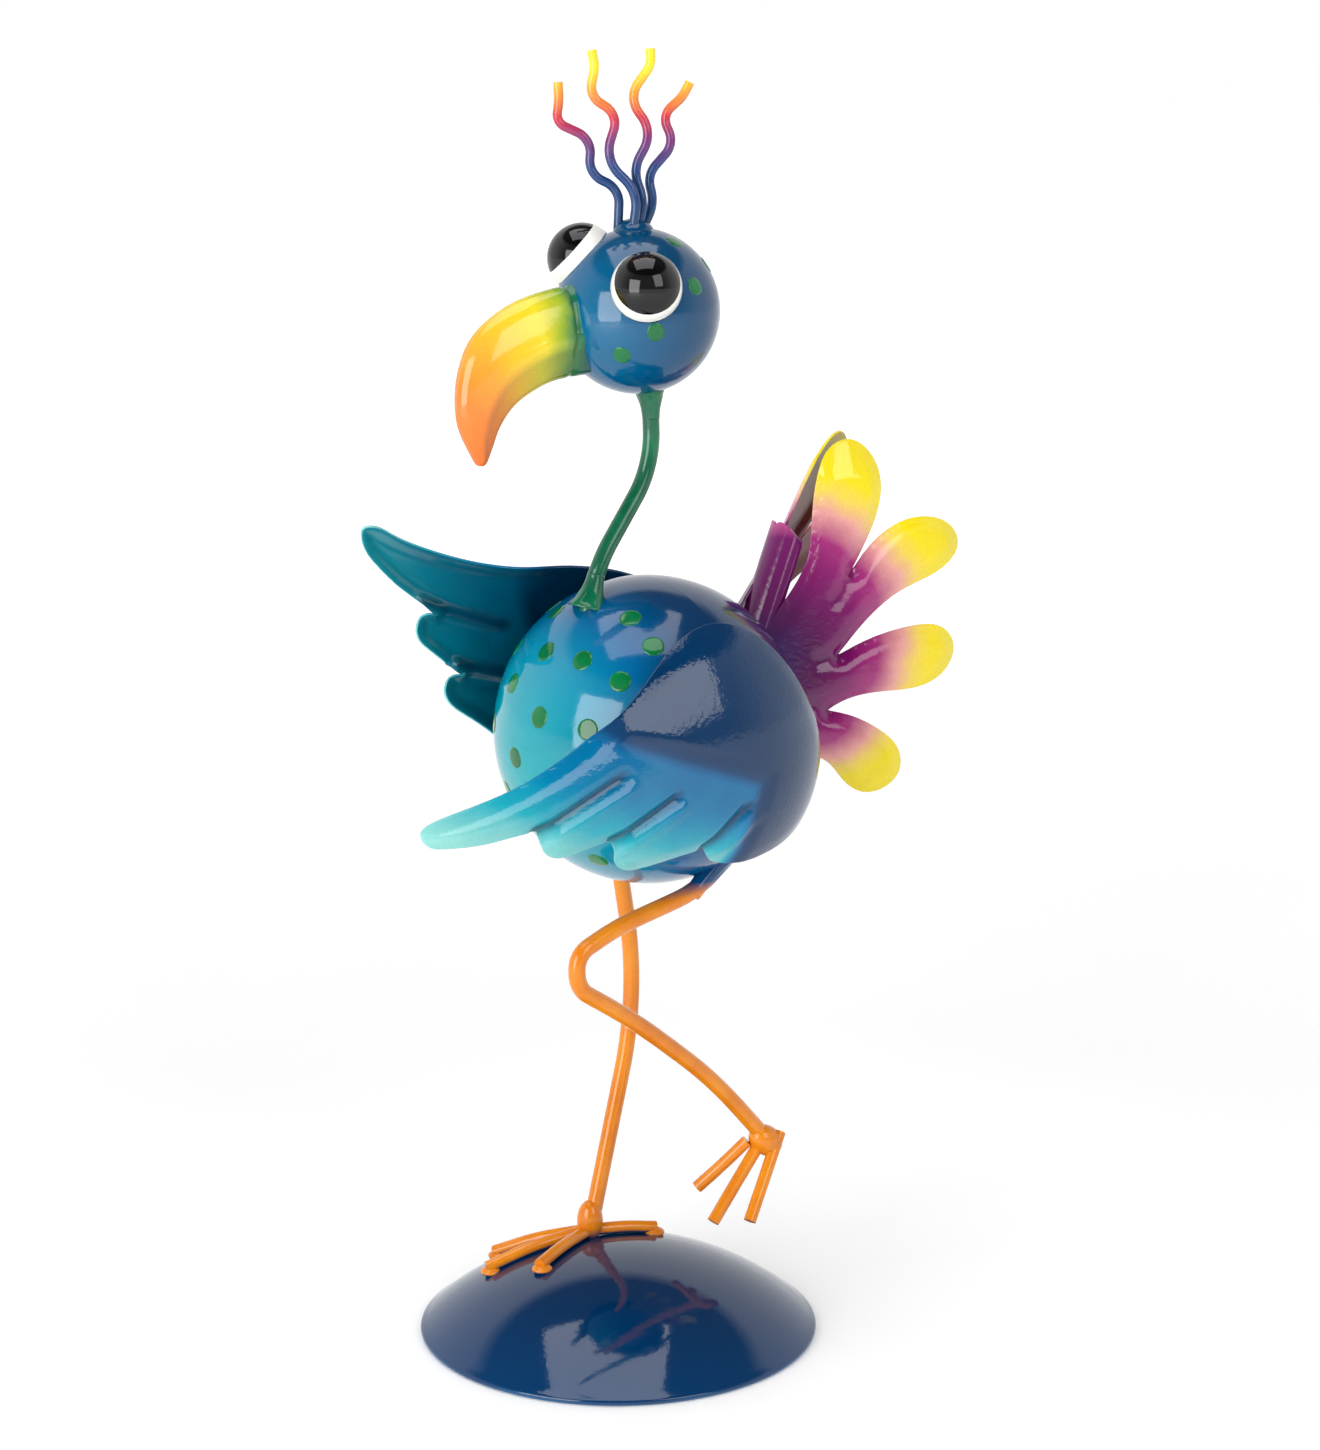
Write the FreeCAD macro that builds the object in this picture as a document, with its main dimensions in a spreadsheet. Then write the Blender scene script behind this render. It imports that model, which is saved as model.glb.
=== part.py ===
"""Garden bird figurine: painted steel, one leg standing on a domed base.

Frame: millimetres, +Z up, origin at the centre of the base rim on the ground.
The bird looks along -Y, and +X is the bird's left.
"""
import FreeCAD
import Part
import Sketcher
import math
import os

Vector = FreeCAD.Vector
Rotation = FreeCAD.Rotation
Placement = FreeCAD.Placement

# Driving dimensions in millimetres, or degrees where the name ends in _angle.
SIZES = {
    "base_radius": 66.0,
    "base_height": 26.5,
    "base_lip": 1.5,
    "base_sheet": 1.2,
    "body_radius": 50.0,
    "body_setback": 13.0,
    "body_height": 202.0,
    "head_radius": 26.0,
    "head_setback": 9.0,
    "head_height": 336.8,
    "shell_sheet": 0.8,
    "eye_radius": 11.1,
    "rod": 5.5,
    "toe_rod": 4.2,
    "hair_rod": 3.0,
    "wing_sheet": 1.0,
    "wing_standoff": 54.0,
    "wing_arch": 60.0,
    "wing_wrap": 16.0,
    "wing_cup": 66.0,
    "tail_sheet": 1.0,
    "tail_splay": 0.356,
    "tail_lean": 0.111,
    "far_splay": 0.383,
    "far_lean": 0.444,
    "covert_radius": 7.4,
    "beak_sheet": 0.8,
}

os.makedirs("parts", exist_ok=True)
doc = FreeCAD.newDocument("bird")
sheet = doc.addObject("Spreadsheet::Sheet", "sizes")
for row, (alias, value) in enumerate(SIZES.items(), start=1):
    sheet.set("A%d" % row, alias)
    sheet.set("B%d" % row, str(value))
    sheet.setAlias("B%d" % row, alias)
doc.recompute()

subparts = []


def size(alias):
    """Value of one driving dimension, read from the sheet."""
    return float(sheet.get(alias))


def bind(thing, **expressions):
    """Tie properties of an object to the sheet's cells."""
    for prop, expression in expressions.items():
        for alias in SIZES:
            expression = expression.replace("<" + alias + ">", "<<sizes>>." + alias)
        thing.setExpression(prop.replace("__", "."), expression)


def keep(thing, label):
    """Name a finished sub-part and list it for writing."""
    thing.Label = label
    subparts.append(thing)
    return thing


# ---------------------------------------------------------------- reference places

BODY = Vector(0, size("body_setback"), size("body_height"))
HEAD = Vector(0, size("head_setback"), size("head_height"))
LIP = size("base_lip")
DOME_RISE = size("base_height") - LIP
DOME_RADIUS = (size("base_radius") ** 2 + DOME_RISE ** 2) / (2 * DOME_RISE)
DOME_CENTRE = Vector(0, 0, size("base_height") - DOME_RADIUS)
CLEAR = 0.15


# ---------------------------------------------------------------- shared builders

def ball(name, centre, radius_expression):
    """Sphere whose radius follows the sheet."""
    sphere = doc.addObject("Part::Sphere", name)
    bind(sphere, Radius=radius_expression)
    sphere.Placement = Placement(centre, Rotation())
    return sphere


def cut(name, base, *tools):
    """Base minus every tool."""
    result = base
    for index, tool in enumerate(tools):
        step = doc.addObject("Part::Cut", "%s_cut%d" % (name, index))
        step.Base = result
        step.Tool = tool
        result = step
    return result


def common(name, base, tool):
    """What two solids share."""
    result = doc.addObject("Part::Common", name)
    result.Base = base
    result.Tool = tool
    return result


def lump(name, centre, radii, direction=Vector(0, 0, 1), seam_angle=0):
    """Weld bead: an ellipsoid of radii (along direction, across), before it is trimmed."""
    bead = doc.addObject("Part::Ellipsoid", name + "_bead")
    bead.Radius1 = radii[0]
    bead.Radius2 = radii[1]
    spin = Rotation(Vector(0, 0, 1), seam_angle)
    bead.Placement = Placement(centre, Rotation(Vector(0, 0, 1), direction).multiply(spin))
    return bead


def rounded_wire(corners, closed=False):
    """Straight runs joined by tangent arcs. A corner is (point, radius or None for the largest)."""
    count = len(corners)
    points = [point for point, radius in corners]
    edges = []
    trims = {}
    turning = range(count) if closed else range(1, count - 1)
    for i in turning:
        here = points[i]
        back = points[i - 1] - here
        ahead = points[(i + 1) % count] - here
        half = (math.pi - back.getAngle(ahead)) / 2
        longest = 0.45 * min(back.Length, ahead.Length) / math.tan(half)
        radius = longest if corners[i][1] is None else min(corners[i][1], longest)
        reach = radius * math.tan(half)
        first = here + back.normalize() * reach
        last = here + ahead.normalize() * reach
        toward = (back + ahead).normalize()
        middle = here + toward * (radius / math.cos(half) - radius)
        trims[i] = (first, middle, last)
    start = trims[0][2] if closed else points[0]
    for i in list(range(1, count)) + ([0] if closed else []):
        if i not in trims:
            edges.append(Part.makeLine(start, points[i]))
            continue
        first, middle, last = trims[i]
        edges.append(Part.makeLine(start, first))
        edges.append(Part.Arc(first, middle, last).toShape())
        start = last
    return Part.Wire(edges)


def rod(name, corners, diameter_expression):
    """Round wire bent along its corners."""
    path = doc.addObject("Part::Feature", name + "_path")
    path.Shape = rounded_wire([(point, None) for point in corners])
    profile = doc.addObject("Part::Circle", name + "_profile")
    bind(profile, Radius=diameter_expression + " / 2")
    heading = corners[1] - corners[0]
    profile.Placement = Placement(corners[0], Rotation(Vector(0, 0, 1), heading))
    sweep = doc.addObject("Part::Sweep", name + "_sweep")
    sweep.Sections = [profile]
    sweep.Spine = (path, ["Edge%d" % (i + 1) for i in range(len(path.Shape.Edges))])
    sweep.Solid = True
    sweep.Frenet = False
    return sweep


def petal_wire(runs):
    """Closed outline of smooth runs that meet at sharp notches."""
    edges = []
    for run in runs:
        points = [Vector(x, y, 0) for x, y in run]
        if len(points) == 2:
            edges.append(Part.makeLine(*points))
            continue
        curve = Part.BSplineCurve()
        curve.interpolate(points)
        edges.append(curve.toShape())
    return Part.Wire(edges)


def prism(name, wire, depth, placement):
    """Flat outline drawn in XY and pulled both ways along Z."""
    outline = doc.addObject("Part::Feature", name + "_outline")
    outline.Shape = wire
    block = doc.addObject("Part::Extrusion", name + "_block")
    block.Base = outline
    block.Dir = Vector(0, 0, 1)
    block.LengthFwd = depth
    block.LengthRev = depth
    block.Solid = True
    block.Placement = placement
    return block


def half_shell(label, radius, centre, angle):
    """Pressed half ball of sheet, opening toward +Y before it is turned."""
    body = doc.addObject("PartDesign::Body", label + "_body")
    sketch = body.newObject("Sketcher::SketchObject", label + "_section")
    plane = next(f for f in body.Origin.OriginFeatures if f.Role == "XY_Plane")
    sketch.AttachmentSupport = (plane, [""])
    sketch.MapMode = "FlatFace"
    outer = size(radius)
    inner = outer - size("shell_sheet")
    quarter = math.pi / 2
    arcs = []
    for reach in (outer, inner):
        circle = Part.Circle(Vector(0, 0, 0), Vector(0, 0, 1), reach)
        arcs.append(sketch.addGeometry(Part.ArcOfCircle(circle, 0, quarter)))
    flats = [sketch.addGeometry(Part.LineSegment(Vector(inner, 0, 0), Vector(outer, 0, 0))),
             sketch.addGeometry(Part.LineSegment(Vector(0, inner, 0), Vector(0, outer, 0)))]
    link = Sketcher.Constraint
    for flat, end in ((flats[0], 1), (flats[1], 2)):
        sketch.addConstraint(link("Coincident", flat, 1, arcs[1], end))
        sketch.addConstraint(link("Coincident", flat, 2, arcs[0], end))
    sketch.addConstraint(link("Coincident", arcs[0], 3, -1, 1))
    sketch.addConstraint(link("Coincident", arcs[1], 3, -1, 1))
    sketch.addConstraint(link("Horizontal", flats[0]))
    sketch.addConstraint(link("Vertical", flats[1]))
    for arc, expression in ((arcs[0], "<%s>" % radius), (arcs[1], "<%s> - <shell_sheet>" % radius)):
        index = sketch.addConstraint(link("Radius", arc, size(radius)))
        bind(sketch, **{"Constraints[%d]" % index: expression})
    turn = body.newObject("PartDesign::Revolution", label + "_turn")
    turn.Profile = sketch
    turn.ReferenceAxis = (sketch, ["V_Axis"])
    turn.Angle = 360
    body.Placement = Placement(centre, Rotation(Vector(0, 0, 1), angle))
    return keep(body, label)


# ---------------------------------------------------------------- base

def build_base():
    """Spun dome with a short upright lip, open underneath."""
    outer = ball("dome_outer", DOME_CENTRE, "%.6f mm" % DOME_RADIUS)
    inner = ball("dome_inner", DOME_CENTRE, "dome_outer.Radius - <base_sheet> * 1 mm")
    rim = doc.addObject("Part::Cylinder", "dome_rim")
    bind(rim, Radius="<base_radius>", Height="<base_height> + 1")
    bore = doc.addObject("Part::Cylinder", "dome_bore")
    bind(bore, Radius="<base_radius> - <base_sheet>", Height="<base_height> + 20")
    bore.Placement = Placement(Vector(0, 0, -10), Rotation())
    hollow = common("dome_hollow", inner, bore)
    cap = common("dome_cap", outer, rim)
    keep(cut("dome", cap, hollow), "base_dome")


def on_dome(x, y, height):
    """Point at a height off the dome's surface."""
    reach = DOME_RADIUS + height
    return Vector(x, y, DOME_CENTRE.z + math.sqrt(reach ** 2 - x ** 2 - y ** 2))


# ---------------------------------------------------------------- shells

half_shell("body_front_shell", "body_radius", BODY, 180)
half_shell("body_back_shell", "body_radius", BODY, 0)
half_shell("head_front_shell", "head_radius", HEAD, 180)
half_shell("head_back_shell", "head_radius", HEAD, 0)
build_base()

body_ball = ball("body_space", BODY, "<body_radius>")
head_ball = ball("head_space", HEAD, "<head_radius>")
dome_ball = ball("dome_space", DOME_CENTRE, "dome_outer.Radius")


# ---------------------------------------------------------------- neck

neck_path = [Vector(0, 13.8, 314), Vector(0, 15, 287.5), Vector(0, -6.8, 259), Vector(0, -12, 243)]
neck = cut("neck", rod("neck", neck_path, "<rod>"), body_ball, head_ball)
keep(neck, "neck_rod")
neck_body_weld = lump("neck_body_weld", Vector(0, -10.3, 246.5), (5.0, 5.2), Vector(0, -0.2, 1))
keep(cut("neck_body_weld", neck_body_weld, neck, body_ball), "neck_body_weld")
neck_head_weld = lump("neck_head_weld", Vector(0, 14, 311), (5.5, 4.6))
keep(cut("neck_head_weld", neck_head_weld, neck, head_ball), "neck_head_weld")


# ---------------------------------------------------------------- standing leg and foot

STAND_ANKLE = on_dome(-18.8, 3.6, 4.6)
stand_path = [Vector(-22.5, 16.5, 166), Vector(-21.4, 26.4, 106), STAND_ANKLE]
stand_leg = cut("stand_leg", rod("stand_leg", stand_path, "<rod>"), body_ball)
keep(stand_leg, "stand_leg")

TOE_LIFT = size("toe_rod") / 2 + CLEAR
STAND_TOES = {
    "stand_toe_outer": [(-20.5, 2.2), (-33, -8), (-46, -17)],
    "stand_toe_middle": [(-19.8, 0.8), (-25, -15.5), (-31, -31.5)],
    "stand_toe_inner": [(-18.2, 0.8), (-13.5, -13), (-9.2, -26)],
    "stand_toe_back": [(-17.8, 5.5), (-14.5, 15), (-10.5, 25)],
}
stand_toes = []
for toe_name, track in STAND_TOES.items():
    raw = rod(toe_name, [on_dome(x, y, TOE_LIFT) for x, y in track], "<toe_rod>")
    toe = keep(cut(toe_name, raw, dome_ball, *stand_toes), toe_name)
    stand_toes.append(toe)
stand_leg_bead = lump("stand_ankle_weld", on_dome(-19, 3.2, 5.6), (7.2, 4.4))
keep(cut("stand_ankle_weld", stand_leg_bead, stand_leg, dome_ball, *stand_toes), "stand_ankle_weld")
for toe_name, track in STAND_TOES.items():
    x, y = track[-1]
    tack = lump(toe_name + "_tack", on_dome(0.97 * x, 0.97 * y, 0.6), (1.6, 3.4))
    keep(cut(toe_name + "_tack", tack, dome_ball, *stand_toes), toe_name + "_tack")


# ---------------------------------------------------------------- raised leg and foot

RAISED_ANKLE = Vector(24, 44.5, 61.5)
raised_path = [Vector(24, 28, 163), Vector(24, 13, 152.6), Vector(24, -20, 146.4), Vector(24, -36, 140.4),
               Vector(24, -35.8, 129.4), Vector(24, -12, 113.8), Vector(24, 20, 88.2), RAISED_ANKLE]
raised_leg = cut("raised_leg", rod("raised_leg", raised_path, "<rod>"), body_ball)
keep(raised_leg, "raised_leg")
RAISED_TOES = {
    "raised_toe_outer": [Vector(26.5, 48, 64), Vector(29, 40, 52.5), Vector(32, 30, 38.5)],
    "raised_toe_middle": [Vector(24, 41.5, 61), Vector(24, 31.5, 50), Vector(24, 20.9, 38.1)],
    "raised_toe_inner": [Vector(22, 37.5, 62), Vector(17.3, 31, 54), Vector(12, 24.2, 46)],
}
raised_toes = []
for toe_name, track in RAISED_TOES.items():
    raw = rod(toe_name, track, "<toe_rod>")
    toe = keep(cut(toe_name, raw, raised_leg, *raised_toes), toe_name)
    raised_toes.append(toe)
raised_bead = lump("raised_ankle_weld", Vector(24.6, 43.4, 61.6), (6.8, 5.0), Vector(0, 0.8, -0.6))
keep(cut("raised_ankle_weld", raised_bead, raised_leg, *raised_toes), "raised_ankle_weld")

left_hip = lump("left_hip_weld", Vector(24.2, 19.2, 156.9), (4.6, 5.2), Vector(0, 0, 1), 65)
keep(cut("left_hip_weld", left_hip, raised_leg, body_ball), "left_hip_weld")
right_hip = lump("right_hip_weld", Vector(-22.3, 17.4, 157.6), (4.0, 5.0))
keep(cut("right_hip_weld", right_hip, stand_leg, body_ball), "right_hip_weld")


# ---------------------------------------------------------------- eyes

EYES = {"left_eye": Vector(18.7, -12.0, 8.8), "right_eye": Vector(-11.5, -13.0, 16.4)}
eyes = []
for eye_name, place in EYES.items():
    globe = ball(eye_name + "_ball", HEAD + place, "<eye_radius>")
    eyes.append(keep(cut(eye_name, globe, head_ball), eye_name))


# ---------------------------------------------------------------- beak

BEAK_TURN = math.radians(8)
BEAK_AHEAD = Vector(-math.sin(BEAK_TURN), -math.cos(BEAK_TURN), 0)
BEAK_SIDE = Vector(math.cos(BEAK_TURN), -math.sin(BEAK_TURN), 0)
# Each section runs from the crest to the underside, both as (ahead, up) of the head's centre.
BEAK_SECTIONS = [
    ((18, 9), (18, -18), 6.6),
    ((33, 7), (31, -19.5), 6.8),
    ((46.8, 2.6), (40, -23), 6.6),
    ((58.4, -6), (46.4, -27.3), 6.0),
    ((63.6, -18), (51, -33.2), 5.0),
    ((63.8, -31.4), (53.4, -39), 3.4),
    ((58.4, -42.6), (55.8, -43.8), 1.3),
]


def beak_place(ahead, up):
    return HEAD + BEAK_AHEAD * ahead + Vector(0, 0, up)


def beak_horn(name, sections, inset):
    """Horn lofted through elliptical sections, each drawn in by the inset."""
    rings = []
    for index, (crest, under, half_width) in enumerate(sections):
        top = beak_place(*crest)
        low = beak_place(*under)
        ring = doc.addObject("Part::Ellipse", "%s_ring%d" % (name, index))
        ring.MajorRadius = (top - low).Length / 2 - inset
        ring.MinorRadius = half_width - inset
        across = (top - low).normalize()
        ring.Placement = Placement((top + low) / 2, Rotation(across, BEAK_SIDE, Vector(), "XYZ"))
        rings.append(ring)
    path = doc.addObject("Part::Feature", name + "_path")
    curve = Part.BSplineCurve()
    curve.interpolate([(beak_place(*crest) + beak_place(*under)) / 2 for crest, under, width in sections])
    path.Shape = curve.toShape()
    horn = doc.addObject("Part::Sweep", name)
    horn.Sections = rings
    horn.Spine = (path, ["Edge1"])
    horn.Solid = True
    horn.Frenet = False
    return horn


def build_beak():
    """Two pressed halves meeting on the beak's own middle plane."""
    skin = beak_horn("beak_skin", BEAK_SECTIONS, 0)
    core = beak_horn("beak_core", BEAK_SECTIONS[:-1], size("beak_sheet"))
    horn = cut("beak_horn", skin, core, head_ball)
    for label, side in (("beak_left_half", 1), ("beak_right_half", -1)):
        box = doc.addObject("Part::Box", label + "_box")
        box.Length = 100
        box.Width = 120
        box.Height = 120
        turn = Rotation(Vector(0, 0, 1), math.degrees(-BEAK_TURN))
        corner = Vector(0 if side > 0 else -100, -110, -80)
        box.Placement = Placement(HEAD + turn.multVec(corner), turn)
        keep(common(label, horn, box), label)


build_beak()


# ---------------------------------------------------------------- hair

FAN_ANGLE = math.radians(50)
FAN_SIDE = Vector(math.cos(FAN_ANGLE), math.sin(FAN_ANGLE), 0)
FAN_FRONT = Vector(math.sin(FAN_ANGLE), -math.cos(FAN_ANGLE), 0)
FAN_LIFT = 0.2
# Bends of each wire as (sideways, up) from the crown, then its depth at the root and its lean.
HAIR = [
    ([(-6.2, -2.5), (-5.6, 11.8), (-15.2, 16.2), (-14.2, 26.9), (-25.2, 31.8), (-24.2, 38.5), (-24.5, 44)],
     0.0, 0.05),
    ([(-1.6, -2.5), (0.2, 10.2), (-10.2, 20), (-5.8, 33.6), (-14.8, 39.2), (-13, 48), (-14, 53)], 3.3, 0.04),
    ([(-0.6, -2.5), (2.2, 7.8), (-1.5, 17.8), (4.8, 29.3), (-2.9, 40), (4.2, 50), (4, 55)], 0.0, -0.04),
    ([(0.5, -2.5), (5.2, 8), (3, 16.8), (11.5, 26.5), (7.6, 35.2), (14, 41), (16.3, 45.5)], -3.3, -0.06),
]


def hair_place(sideways, up, depth):
    crown = HEAD + Vector(0, 0, size("head_radius"))
    return crown + FAN_SIDE * sideways + FAN_FRONT * depth + Vector(0, 0, up + FAN_LIFT * depth)


hairs = []
for number, (bends, depth, lean) in enumerate(HAIR, start=1):
    label = "hair_wire_%d" % number
    corners = [hair_place(sideways, up, depth + lean * up) for sideways, up in bends]
    hairs.append(keep(cut(label, rod(label, corners, "<hair_rod>"), head_ball), label))
hair_bead = lump("hair_root_weld", hair_place(-1.2, -2.2, 0), (5.0, 6.6))
keep(cut("hair_root_weld", hair_bead, head_ball, *hairs), "hair_root_weld")


# ---------------------------------------------------------------- wings

# Outlines with the tip ahead (x) and the leading edge up (y).
# Each run goes from one notch between feathers to the next.
LEFT_WING_OUTLINE = [
    [(24, -24.4), (23, -28.2), (19.5, -31.4), (14, -33.6), (0, -35.6), (-14, -35.6), (-25, -31.5), (-30.2, -21),
     (-29.6, -8), (-24.5, 8), (-18, 24), (-9.5, 36.5), (2, 42.9), (14.8, 42.4), (31.5, 35), (43.5, 29.4),
     (54.5, 24.8), (66.3, 21.4), (87, 17.9), (105, 17.4), (111, 17), (115, 15.2), (115, 12), (110, 8.8),
     (96.5, 5.6), (80.4, 3.4)],
    [(80.4, 3.4), (81.4, 0), (80, -4), (76.5, -6.9), (71.5, -7.9), (64, -7.9), (57, -8.8)],
    [(57, -8.8), (57.2, -14), (55.8, -17.8), (52.6, -20.8), (48.6, -22.2), (40, -23.2), (32, -23.8), (24, -24.4)],
]
RIGHT_WING_OUTLINE = [
    [(24, -24.4), (23, -28.2), (19.5, -31.4), (14, -33.6), (0, -35.6), (-14, -35.6), (-25, -31.5), (-30.2, -21),
     (-29.6, -8), (-24.5, 9), (-18, 26), (-9.5, 39), (4, 46.6), (23, 46.8), (42.5, 39.4), (59.2, 30),
     (74.8, 23.9), (92.9, 19.8), (105, 18.6), (111.5, 17.9), (114.4, 15.4), (112.6, 12.2), (103.4, 7.4),
     (91.9, 4.8), (74.4, 3)],
    [(74.4, 3), (78.2, 0.6), (78.4, -3.4), (75.6, -6.9), (70, -8.3), (63.5, -9.2), (54.8, -10)],
    [(54.8, -10), (58.4, -13.4), (58.4, -17), (55.6, -19.8), (51, -21), (43, -21.4), (33, -22.4), (24, -24.4)],
]


def build_wing(label, outline, side, pitch, yaw, drop):
    """Pressed wing: an arched strip turned about the body's own middle, trimmed to the outline."""
    arch = size("wing_arch")
    wrap = size("wing_wrap")
    gauge = size("wing_sheet")
    out = -side
    rear = -36.0
    tip = 122.0
    centre = Vector(0, 0, -arch * out)

    def arc_point(reach, x):
        return centre + Vector(x, 0, out * math.sqrt(reach ** 2 - x ** 2))

    slope = math.asin(wrap / arch)
    run = (tip - wrap) / math.cos(slope)
    heading = Vector(math.cos(slope), 0, -out * math.sin(slope))
    joints = []
    for reach in (arch, arch - gauge):
        ratio = reach / arch
        last = arc_point(reach, wrap * ratio)
        joints.append((arc_point(reach, rear * ratio), arc_point(reach, -10 * ratio), last, last + heading * run))
    top, low = joints
    edges = [
        Part.Arc(top[0], top[1], top[2]).toShape(),
        Part.makeLine(top[2], top[3]),
        Part.makeLine(top[3], low[3]),
        Part.makeLine(low[3], low[2]),
        Part.Arc(low[2], low[1], low[0]).toShape(),
        Part.makeLine(low[0], top[0]),
    ]
    section = doc.addObject("Part::Feature", label + "_section")
    section.Shape = Part.Wire(edges)
    strip = doc.addObject("Part::Revolution", label + "_strip")
    strip.Source = section
    strip.Axis = Vector(1, 0, 0)
    strip.Base = Vector(0, 0, -out * size("wing_cup"))
    strip.Angle = 110
    strip.Symmetric = True
    strip.Solid = True
    block = prism(label, petal_wire(outline), 60, Placement())
    wing = common(label, strip, block)
    pitch = math.radians(pitch)
    yaw = math.radians(yaw)
    ahead = Vector(-side * math.cos(pitch) * math.sin(yaw), -math.cos(pitch) * math.cos(yaw), math.sin(pitch))
    upward = Vector(side * math.sin(pitch) * math.sin(yaw), math.sin(pitch) * math.cos(yaw), math.cos(pitch))
    outward = Vector(side * math.cos(yaw), -math.sin(yaw), 0)
    shoulder = BODY + outward * size("wing_standoff") + Vector(0, 0, drop)
    wing.Placement = Placement(shoulder, Rotation(ahead, upward, Vector(), "XYZ"))
    keep(wing, label)
    post = doc.addObject("Part::Cylinder", label + "_post")
    post.Radius = 4.5
    post.Height = 10
    post.Placement = Placement(shoulder - outward * (10 + gauge + CLEAR), Rotation(Vector(0, 0, 1), outward))
    keep(cut(label + "_weld", post, body_ball), label + "_weld")


build_wing("left_wing", LEFT_WING_OUTLINE, 1, -13, -6, 0)
build_wing("right_wing", RIGHT_WING_OUTLINE, -1, 32, -20, -6)


# ---------------------------------------------------------------- tail

# Outline of a leaf with the rear ahead (x) and up (y), from notch to notch between the petals.
TAIL_OUTLINE = [
    [(7, 18), (13.5, 26.5), (18.6, 35), (21.3, 50), (24, 65), (28.5, 73.2), (35.6, 75.8), (42.8, 71.4), (46.7, 61.5),
     (44.8, 50), (40.2, 40.5), (35.3, 31.7)],
    [(35.3, 31.7), (44.7, 42.3), (54.5, 47.6), (64.5, 48.2), (71.8, 44.6), (74.2, 38.6), (69.8, 31.6),
     (61.5, 27.2), (52.5, 23.6), (39.5, 14.3), (29.6, 3.8)],
    [(29.6, 3.8), (40, 8.2), (50, 10.8), (59, 11.9), (67, 10.6), (71.4, 5), (69.6, -2.8), (62.6, -8.2), (48, -9.9),
     (34, -11), (25.4, -14.7)],
    [(25.4, -14.7), (34, -17.2), (43.8, -22.7), (50.2, -29.6), (50.6, -37), (44.6, -42.6), (36, -43.2),
     (29.4, -38.4), (24.6, -32.6), (17, -28.8), (6, -26), (-4, -24)],
    [(-4, -24), (-4, 6)],
    [(-4, 6), (7, 18)],
]
TAIL_ARCH = 140.0
TAIL_CREST = 30.0


def arch_rise(x):
    return math.sqrt(TAIL_ARCH ** 2 - (x - TAIL_CREST) ** 2) - TAIL_ARCH


def build_leaf(side_name, side, root, splay, lean):
    """Half of the fan: a shallow arched sheet trimmed to four petals, with its weld bead inside the foot."""
    label = "tail_%s_leaf" % side_name
    outer = doc.addObject("Part::Cylinder", label + "_outer")
    inner = doc.addObject("Part::Cylinder", label + "_inner")
    for drum, reach in ((outer, TAIL_ARCH), (inner, TAIL_ARCH - size("tail_sheet"))):
        drum.Radius = reach
        drum.Height = 200
        drum.Placement = Placement(Vector(TAIL_CREST, 100, -side * TAIL_ARCH), Rotation(Vector(1, 0, 0), 90))
    block = prism(label, petal_wire(TAIL_OUTLINE), 40, Placement())
    leaf = common(label + "_leaf", cut(label + "_drum", outer, inner), block)
    back = Vector(side * splay, 1, 0).normalize()
    normal = Vector(side, -side * back.x / back.y, lean)
    upward = (normal.cross(back) * side).normalize()
    normal = (back.cross(upward) * side).normalize()
    leaf.Placement = Placement(root, Rotation(back, upward, Vector(), "XYZ"))
    leaf = keep(cut(label, leaf, body_ball), label)
    foot = root + back * 9 - upward * 12 + normal * (arch_rise(9) - size("tail_sheet") - 2.4)
    bead = lump("tail_%s_weld" % side_name, foot, (8.6, 3.3), upward, 90 * side)
    return leaf, bead


left_leaf, left_bead = build_leaf("left", 1, Vector(2, 60, 215), size("tail_splay"), size("tail_lean"))
right_leaf, right_bead = build_leaf("right", -1, Vector(-18.8, 54.1, 223.3), size("far_splay"), size("far_lean"))
tail_leaves = [left_leaf, right_leaf]

# Small curved leaf closing the front of the fan.
COVERT_OUTLINE = [
    [(-11, -30), (-11, 13)],
    [(-11, 13), (-9.6, 21), (-6.4, 25.6), (-3.2, 26.4), (-0.6, 24.6)],
    [(-0.6, 24.6), (1.6, 26), (4.6, 24.8), (7.4, 20), (8.4, 13)],
    [(8.4, 13), (8.4, -30)],
    [(8.4, -30), (-11, -30)],
]
COVERT_LEAN = math.radians(23.5)
COVERT_AXIS = Vector(0, math.sin(COVERT_LEAN), math.cos(COVERT_LEAN))
COVERT_MIDDLE = Vector(-8.6, 73, 236)


def build_covert():
    tubes = []
    for name, expression in (("outer", "<covert_radius>"), ("inner", "<covert_radius> - <tail_sheet>")):
        tube = doc.addObject("Part::Cylinder", "covert_" + name)
        bind(tube, Radius=expression)
        tube.Height = 70
        tube.Placement = Placement(COVERT_MIDDLE - COVERT_AXIS * 34, Rotation(Vector(0, 0, 1), COVERT_AXIS))
        tubes.append(tube)
    turn = Rotation(Vector(1, 0, 0), COVERT_AXIS, Vector(), "XYZ")
    block = prism("covert", petal_wire(COVERT_OUTLINE), 20, Placement(COVERT_MIDDLE, turn))
    block.LengthRev = 0
    leaf = common("covert_leaf", cut("covert_tube", *tubes), block)
    return keep(cut("tail_covert", leaf, body_ball, *tail_leaves), "tail_covert")


covert = build_covert()
covert_bead = lump("tail_covert_weld", COVERT_MIDDLE - COVERT_AXIS * 20.5, (5.6, 6.5), COVERT_AXIS)
keep(cut("tail_covert_weld", covert_bead, body_ball, covert, *tail_leaves), "tail_covert_weld")
for bead, leaf in ((left_bead, left_leaf), (right_bead, right_leaf)):
    label = bead.Name.replace("_bead", "")
    keep(cut(label, bead, body_ball, leaf, covert), label)


# ---------------------------------------------------------------- check and write

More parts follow.
